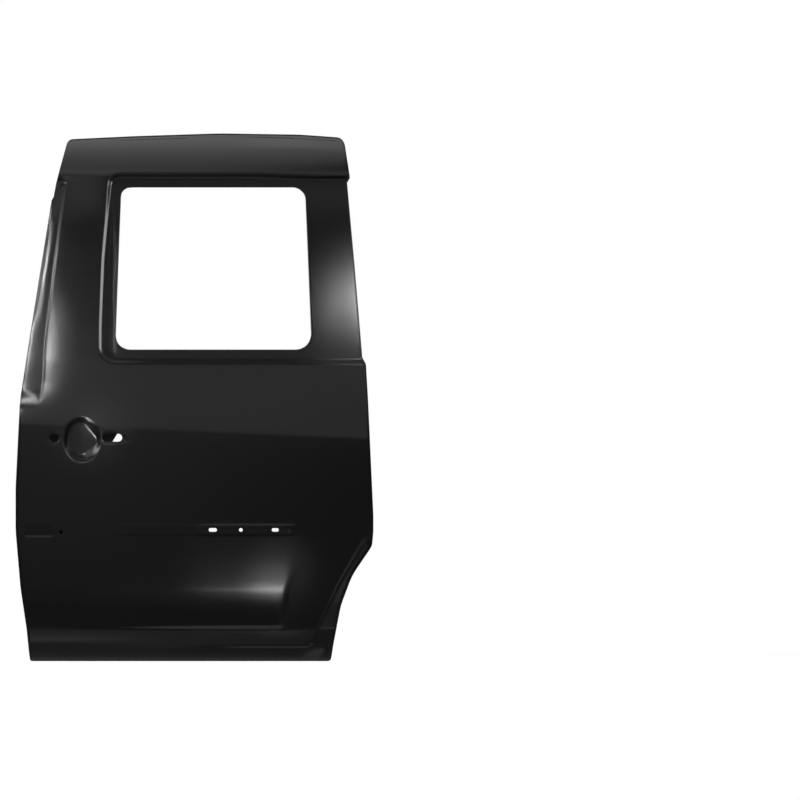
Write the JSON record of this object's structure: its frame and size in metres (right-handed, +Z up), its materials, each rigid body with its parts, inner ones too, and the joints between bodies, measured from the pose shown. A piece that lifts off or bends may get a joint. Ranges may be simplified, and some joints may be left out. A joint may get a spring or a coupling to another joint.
{
  "type": "van sliding door shell",
  "caption": "Bare pressed-steel shell of a van's left sliding door, with a window aperture, handle cup, wheel-arch cut and an open service hole inside.",
  "frame": {"origin": "centre of the flat seat that the rear roller carriage bolts to, on the door's inner face at the belt", "axes": "+X towards the rear of the van, +Y into the van, +Z up"},
  "size_m": [0.88, 0.3327, 1.2998],
  "materials": {
    "primed_steel": "satin black primer",
    "primed_nuts": "satin black primer on weld nuts",
    "seam_sealer": "pale grey seam sealer",
    "mastic": "dark cured mastic"
  },
  "bodies": {
    "root": {"outer_skin": "primed_steel", "inner_panel": "primed_steel", "front_inner_panel": "primed_steel", "belt_rail": "primed_steel", "skin_stiffener": "primed_steel", "mastic_pads": "mastic", "handle_reinforcement": "primed_steel", "latch_plate": "primed_steel", "latch_nuts": "primed_nuts", "carriage_plate": "primed_steel", "carriage_nuts": "primed_nuts", "upper_arm_plate": "primed_steel", "upper_arm_nuts": "primed_nuts", "lower_arm_plate": "primed_steel", "lower_arm_nuts": "primed_nuts", "ledge_nuts": "primed_nuts", "pan_nuts": "primed_nuts", "belt_brackets": "primed_steel", "buffer_cup": "primed_steel", "hem_sealer_front": "seam_sealer", "hem_sealer_rear": "seam_sealer", "hem_sealer_top": "seam_sealer", "hem_sealer_bottom": "seam_sealer"}
  },
  "joints": []
}
